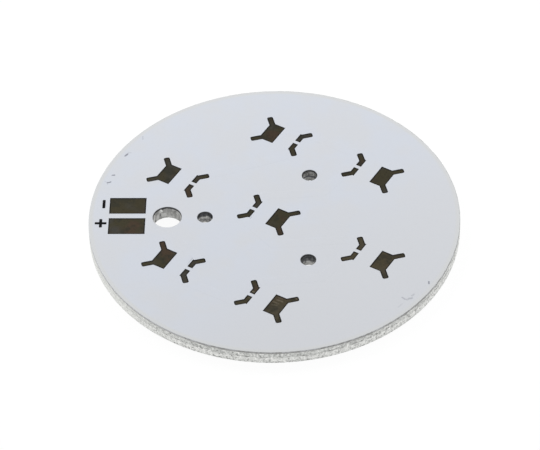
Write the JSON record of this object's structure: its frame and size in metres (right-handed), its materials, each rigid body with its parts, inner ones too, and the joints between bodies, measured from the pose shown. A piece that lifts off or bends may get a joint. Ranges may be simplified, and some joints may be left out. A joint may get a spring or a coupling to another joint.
{
  "type": "bare circuit board",
  "caption": "Round aluminium-core circuit board, unpopulated, with white solder mask, copper lands for a ring of power LEDs round a centre one, wire lands, wire hole and lens peg holes.",
  "frame": {"origin": "centre of the bare aluminium underside, on the axis of the round outline", "axes": "+Z out of the printed side, along the axis of the disc; +X from the wire lands towards the centre LED seat; +Y completes the frame"},
  "size_m": [0.04, 0.04, 0.0016],
  "materials": {
    "aluminium": "bare rolled sheet, with a rough blanked rim",
    "dielectric": "filled resin, seen only as a thin dark line at the rim and in the holes",
    "solder_mask": "semi-matt cool white solder mask with a few grey scuffs",
    "copper_land": "plated copper, reflecting dark olive brown",
    "legend_ink": "matt black ink"
  },
  "bodies": {
    "root": {"aluminium_base": "aluminium", "dielectric_layer": "dielectric", "solder_mask": "solder_mask", "positive_track": "copper_land", "link_track_1": "copper_land", "link_track_2": "copper_land", "link_track_3": "copper_land", "link_track_4": "copper_land", "link_track_5": "copper_land", "link_track_6": "copper_land", "negative_track": "copper_land", "thermal_land_1": "copper_land", "thermal_land_2": "copper_land", "thermal_land_3": "copper_land", "thermal_land_4": "copper_land", "thermal_land_5": "copper_land", "thermal_land_6": "copper_land", "thermal_land_7": "copper_land", "legend_plus": "legend_ink", "legend_minus": "legend_ink"}
  },
  "joints": []
}
